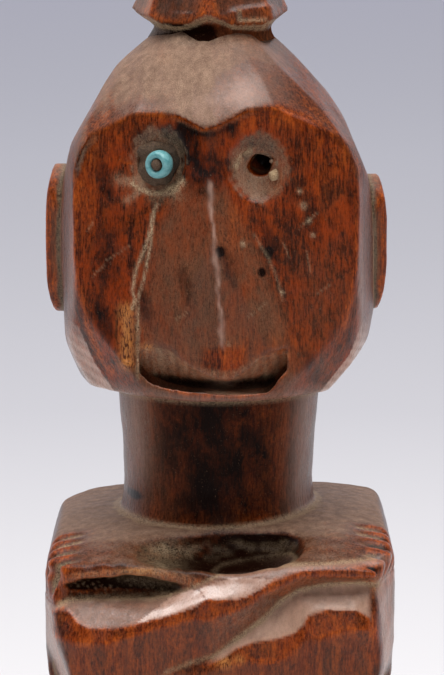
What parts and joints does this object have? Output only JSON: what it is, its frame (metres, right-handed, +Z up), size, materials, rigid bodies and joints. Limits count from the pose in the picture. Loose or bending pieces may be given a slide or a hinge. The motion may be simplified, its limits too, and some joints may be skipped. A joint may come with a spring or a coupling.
{
  "type": "carved ancestor figure",
  "caption": "Carved wooden standing ancestor figure with crossed arms, a topknot, a bead eye and an empty eye socket, on a round plinth.",
  "frame": {"origin": "centre of the plinth's underside", "axes": "+Z up through the figure, the face and the crossed arms look along -Y, +X towards the figure's left, which is the viewer's right from the front"},
  "size_m": [0.057, 0.057, 0.19],
  "materials": {
    "red_wood": "hand-rubbed knife-cut hardwood, glossy on the facets",
    "dark_wood": "darkened, smoke-stained knife-cut hardwood",
    "dusty_wood": "knife-cut hardwood under a film of dust",
    "bead_glass": "worn opaque turquoise trade glass",
    "pitch": "dry dusty pitch, rough"
  },
  "bodies": {
    "root": {"plinth": "dark_wood", "right_foot": "dark_wood", "left_foot": "dark_wood", "right_leg": "red_wood", "left_leg": "red_wood", "hips": "red_wood", "trunk": "dusty_wood", "right_arm": "red_wood", "left_arm": "red_wood", "neck": "dark_wood", "head": "red_wood", "right_ear": "red_wood", "left_ear": "red_wood", "topknot": "dark_wood", "bead_eye": "bead_glass", "bead_pitch": "pitch", "empty_eye_pitch": "pitch"}
  },
  "joints": []
}
